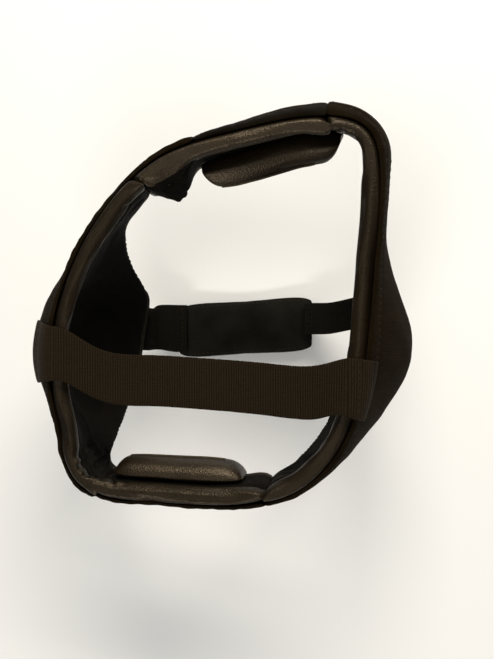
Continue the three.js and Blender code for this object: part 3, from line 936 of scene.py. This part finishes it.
def piping(name, points, radius):
    curve = bpy.data.curves.new(name, "CURVE")
    curve.dimensions = "3D"
    curve.bevel_depth = radius
    curve.bevel_resolution = 3
    curve.use_fill_caps = True
    line = curve.splines.new("POLY")
    line.points.add(len(points) - 1)
    for point, spot in zip(line.points, points):
        point.co = (*spot, 1)
    piece = bpy.data.objects.new(name, curve)
    bpy.context.collection.objects.link(piece)
    curve.materials.append(lining.material)
    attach(piece, "root")
    print(name, "points:", len(points))


def span_of(node, trim):
    start, end = node_ends[node]
    end = end if end > start else end + RING_LENGTH
    return start + trim, end - trim


def low_edge(tree, length):
    for drop in LOW_EDGE_SEARCH:
        if wall_point(tree, length, float(drop), 1)[0] is not None:
            return float(drop)
    return None


trees = {node: wall_tree(piece) for node, piece in {**linings, **covers, **pads}.items()}
print("surfaces ready for stitching:", len(trees))

# %% [markdown]
# Each cover is sewn down near both edges, and inside a seam parts the edge roll from the dome. The
# rows lie in the grooves that the relief left for them, so their depth is the same named value.

# %% Seams of the covers and linings
SEAM_SPACING = 0.0033
LOW_SEAM_INSET = 0.004
COVER_TRIM = 0.002
LINING_TRIM = 0.004

for node in COVER_NODES:
    start, end = span_of(node, COVER_TRIM)
    tree = trees[node]
    rows = [seam_on(tree, start, end, COVER_SEAM, 1, SEAM_SPACING)]
    low_row = []
    for mark in np.arange(start, end, SEAM_SPACING):
        low = low_edge(tree, mark)
        spot, normal = wall_point(tree, mark, low - LOW_SEAM_INSET, 1) if low else (None, None)
        if spot is not None:
            low_row.append((spot, normal))
    rows.append(low_row)
    stitch_row(node + "_stitches", rows)
for node in LINING_NODES:
    start, end = span_of(node, LINING_TRIM)
    rows = [seam_on(trees[node], start, end, EDGE_SEAM, -1, SEAM_SPACING)]
    stitch_row(node + "_stitches", rows)

# %% [markdown]
# Where two covers meet, a short seam runs down across the band on either side of the joint, as when
# both raw edges are turned under and topstitched. The rows stop short of the edge seams.

# %% Joints between covers
JOINT_TRIM = 0.0042
JOINT_TOP = 0.0085
JOINT_FOOT = 0.005
JOINT_SPACING = 0.0031
BAND_DEPTH = 0.04

joint_rows = []
for node in COVER_NODES:
    for mark in span_of(node, JOINT_TRIM):
        low = low_edge(trees[node], mark) or BAND_DEPTH
        row = []
        for drop in np.arange(JOINT_TOP, low - JOINT_FOOT, JOINT_SPACING):
            spot, normal = wall_point(trees[node], mark, float(drop), 1)
            if spot is not None:
                row.append((spot, normal))
        joint_rows.append(row)
stitch_row("joint_stitches", joint_rows)

# %% [markdown]
# A thin piping closes the low edge of each dome where the cover ends on the foam. It is a round
# cord in leather, so a bevelled curve gives it. Its route is measured on the finished pieces, just
# under the cover's low edge, and then smoothed, because the search for the edge goes in steps.

# %% Low edge piping
PIPING_STEP = 0.0025
PIPING_LIFT = 0.0004
LOW_PIPING_RADIUS = 0.00085

for side_name in ("left", "right"):
    cover_tree = trees[side_name + "_cover"]
    lining_tree = trees[side_name + "_lining"]
    start, end = span_of(side_name + "_lining", 0.001)
    route = []
    for mark in np.arange(start, end, PIPING_STEP):
        low = low_edge(cover_tree, mark)
        under = low + PIPING_LIFT if low else None
        spot, normal = wall_point(lining_tree, mark, under, 1) if low else (None, None)
        if spot is not None:
            route.append(spot + normal * PIPING_LIFT)
    smooth_line(route, 2)
    piping(side_name + "_low_piping", route, LOW_PIPING_RADIUS)

# %% [markdown]
# The straps are sewn down at their ends with rows across. A strap isn't on the ring, so a row is
# found another way: of the strap's own points at that length and on the wanted side, those nearest
# to each stitch are averaged, which also evens out the mesh.

# %% Strap stitches
STRAP_INSET = 0.002
STRAP_SPACING = 0.0031
ROW_HALF = 0.0022
STITCH_BLUR = 0.0016
LEFT_OF_CROWN = (-0.8, 0, 0.3)
RIGHT_OF_CROWN = (0.6, 0, 0.6)
ABOVE_CHIN = (0, 0, 1)


def strap_row(node, mark, outward):
    piece = straps[node]
    co = points_of(piece)
    length = np.empty(len(co))
    for loop, uv in zip(piece.data.loops, piece.data.uv_layers["along_and_down"].data):
        length[loop.vertex_index] = uv.uv[0]
    normals = normals_of(piece)
    near = (np.abs(length - mark) < ROW_HALF) & (normals @ np.array(outward) > 0.25)
    chosen = co[near]
    row = []
    for y in np.arange(
        chosen[:, 1].min() + STRAP_INSET, chosen[:, 1].max() - STRAP_INSET, STRAP_SPACING
    ):
        weight = bell(chosen[:, 1] - y, STITCH_BLUR)
        spot = (chosen * weight[:, None]).sum(0) / weight.sum()
        up = (normals[near] * weight[:, None]).sum(0)
        row.append((Vector(spot), Vector(up).normalized()))
    return row


crown_end = strap_lengths["crown_strap"]
stitch_row("crown_strap_stitches", [
    strap_row("crown_strap", 0.0035, LEFT_OF_CROWN),
    strap_row("crown_strap", 0.008, LEFT_OF_CROWN),
    strap_row("crown_strap", crown_end - 0.0035, RIGHT_OF_CROWN),
    strap_row("crown_strap", crown_end - 0.008, RIGHT_OF_CROWN),
])
stitch_row("chin_strap_stitches", [
    strap_row("chin_strap_left", strap_lengths["chin_strap_left"] - 0.003, ABOVE_CHIN),
    strap_row("chin_strap_right", strap_lengths["chin_strap_right"] - 0.0025, ABOVE_CHIN),
    strap_row("chin_strap_right", strap_lengths["chin_strap_right"] - 0.0055, ABOVE_CHIN),
])

# %% [markdown]
# The loose pads are closed by a piped seam along the ridge that faces the head. The ridge is the
# innermost point found at each place along the pad, smoothed into a line.

# %% Pad piping
RIDGE_STEP = 0.003
RIDGE_TRIM = 0.012
RIDGE_DROPS = np.arange(0.008, 0.034, 0.001)
PAD_PIPING_RADIUS = 0.0008


def ridge(tree, start, end):
    line = []
    for mark in np.arange(start, end, RIDGE_STEP):
        inward = -ring_outward(mark)
        hits = [wall_point(tree, mark, float(drop), -1)[0] for drop in RIDGE_DROPS]
        hits = [hit for hit in hits if hit is not None]
        if hits:
            line.append(max(hits, key=lambda hit: (hit - RING_MIDDLE).dot(inward)))
    smooth_line(line, 3)
    return line


for node in ("forehead_pad", "neck_pad"):
    start, end = ends_of(node)
    route = ridge(trees[node], start + RIDGE_TRIM, end - RIDGE_TRIM)
    piping(node + "_piping", route, PAD_PIPING_RADIUS)

# %% [markdown]
# The chin pad has a stitched border on its upper face. It lies flat, so rays straight down find the
# two rows, which follow the pad's slight turn in plan.

# %% Chin border
BORDER = 0.0052
CHIN_HALF_WIDTH = 0.021
CHIN_TURN = 0.06
ABOVE_PAD = -0.09

chin_low, chin_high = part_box("chin_pad")
chin_rows = []
for side in (-1, 1):
    row = []
    for x in np.arange(chin_low[0] + BORDER, chin_high[0] - BORDER, SEAM_SPACING):
        turned = (x - (chin_low[0] + chin_high[0]) / 2) * CHIN_TURN
        middle = (chin_low[1] + chin_high[1]) / 2 + turned
        y = middle + side * (CHIN_HALF_WIDTH - BORDER * 0.8)
        above = Vector((x, y, ABOVE_PAD))
        spot, normal, _, _ = trees["chin_pad"].ray_cast(above, Vector((0, 0, -1)))
        if spot is not None:
            row.append((spot, normal))
    chin_rows.append(row)
stitch_row("chin_border_stitches", chin_rows)
